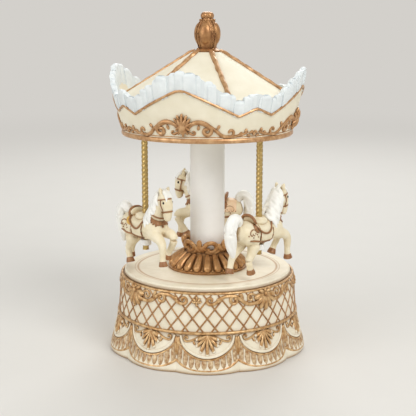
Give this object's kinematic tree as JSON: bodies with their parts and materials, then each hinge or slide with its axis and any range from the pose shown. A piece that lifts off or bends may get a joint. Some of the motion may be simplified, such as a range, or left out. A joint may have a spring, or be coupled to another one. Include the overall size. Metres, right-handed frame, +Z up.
{
  "type": "wind-up carousel music box",
  "caption": "Wind-up music box shaped as a small carousel: horses on twisted poles hang from a turning canopy over a scalloped drum base with the key underneath.",
  "frame": {"origin": "centre of the rest face under the base, on the spindle axis", "axes": "+Z up along the spindle; -Y is the front that the picture shows"},
  "size_m": [0.1182, 0.1208, 0.2],
  "materials": {
    "ivory_resin": "cast resin with stone filler, ivory paint with rubbed antique gold on the relief",
    "horse_resin": "cast resin with stone filler, ivory paint shaded tan",
    "bronze_resin": "cast resin with stone filler, antique gold paint over brown",
    "white_plastic": "satin white",
    "brass": "polished",
    "steel": "bright",
    "zinc_casting": "die-cast, plain",
    "fibreboard": "bare board",
    "black_plastic": "moulded"
  },
  "bodies": {
    "base": {"base_drum": "ivory_resin", "bottom_board": "fibreboard", "bottom_board_screws": "steel", "column_pedestal": "bronze_resin", "column_tube": "white_plastic", "deck_bush": "brass", "lift_cam": "white_plastic", "cam_bush": "brass", "thrust_washer": "steel", "movement_bedplate": "zinc_casting", "movement_screws": "steel", "comb": "steel", "comb_screws": "steel", "cylinder_bracket_inner": "zinc_casting", "cylinder_bracket_outer": "zinc_casting", "governor_bracket": "zinc_casting", "click_pin": "steel", "click_spring": "steel"},
    "carousel": {"spring_barrel": "zinc_casting", "mainspring": "steel", "barrel_lid": "zinc_casting", "rod_coupling": "brass", "drive_rod": "steel", "canopy_hub": "white_plastic", "canopy_shell": "ivory_resin", "canopy_ceiling": "ivory_resin", "ceiling_screws": "steel", "pole_bushes": "brass", "canopy_washer": "brass", "canopy_nut": "brass", "finial": "bronze_resin"},
    "left_rider": {"pole_left": "brass", "horse_left": "horse_resin", "pole_collar_left": "white_plastic", "follower_left": "white_plastic"},
    "right_rider": {"pole_right": "brass", "horse_right": "horse_resin", "pole_collar_right": "white_plastic", "follower_right": "white_plastic"},
    "rear_rider": {"pole_rear": "brass", "horse_rear": "horse_resin", "pole_collar_rear": "white_plastic", "follower_rear": "white_plastic"},
    "cylinder": {"pinned_cylinder": "brass", "cylinder_arbor": "steel", "cylinder_pinion": "brass", "cylinder_wheel": "brass"},
    "governor_wheelset": {"governor_pinion": "brass", "governor_arbor": "steel", "governor_worm_wheel": "brass"},
    "governor_fly": {"governor_worm": "steel", "governor_fan": "black_plastic"},
    "winding": {"winding_arbor": "steel", "winding_key": "brass", "ratchet_wheel": "steel"},
    "click": {"click_pawl": "steel"}
  },
  "joints": [
    {"name": "carousel_spin", "type": "hinge", "parent": "base", "child": "carousel", "pos_m": [0, 0, 0.09], "axis": [0, 0, 1], "continuous": true},
    {"name": "left_lift", "type": "slide", "parent": "carousel", "child": "left_rider", "axis": [0, 0, 1], "range_m": [-0.003, 0.003]},
    {"name": "right_lift", "type": "slide", "parent": "carousel", "child": "right_rider", "axis": [0, 0, 1], "range_m": [-0.003, 0.003]},
    {"name": "rear_lift", "type": "slide", "parent": "carousel", "child": "rear_rider", "axis": [0, 0, 1], "range_m": [-0.003, 0.003]},
    {"name": "cylinder_spin", "type": "hinge", "parent": "base", "child": "cylinder", "pos_m": [0.0245, 0, 0.0254], "axis": [1, 0, 0], "continuous": true},
    {"name": "governor_wheel_spin", "type": "hinge", "parent": "base", "child": "governor_wheelset", "pos_m": [0.0345, -0.0095, 0.0254], "axis": [1, 0, 0], "continuous": true},
    {"name": "governor_spin", "type": "hinge", "parent": "base", "child": "governor_fly", "pos_m": [0.03575, -0.0153, 0.027], "axis": [0, 0, 1], "continuous": true},
    {"name": "key_wind", "type": "hinge", "parent": "base", "child": "winding", "pos_m": [0, 0, 0.01], "axis": [0, 0, 1], "range_deg": [0, 1800]},
    {"name": "click_pivot", "type": "hinge", "parent": "base", "child": "click", "pos_m": [-0.0094, -0.006, 0.01745], "axis": [0, 0, 1], "range_deg": [0, 10], "stiffness_Nm_per_rad": 0.0001}
  ],
  "couplings": [
    {"joint": "right_lift", "follows": "left_lift", "ratio": 1},
    {"joint": "rear_lift", "follows": "left_lift", "ratio": 1},
    {"joint": "cylinder_spin", "follows": "carousel_spin", "ratio": 4.5},
    {"joint": "governor_wheel_spin", "follows": "carousel_spin", "ratio": -16.875},
    {"joint": "governor_spin", "follows": "carousel_spin", "ratio": -337.5}
  ]
}
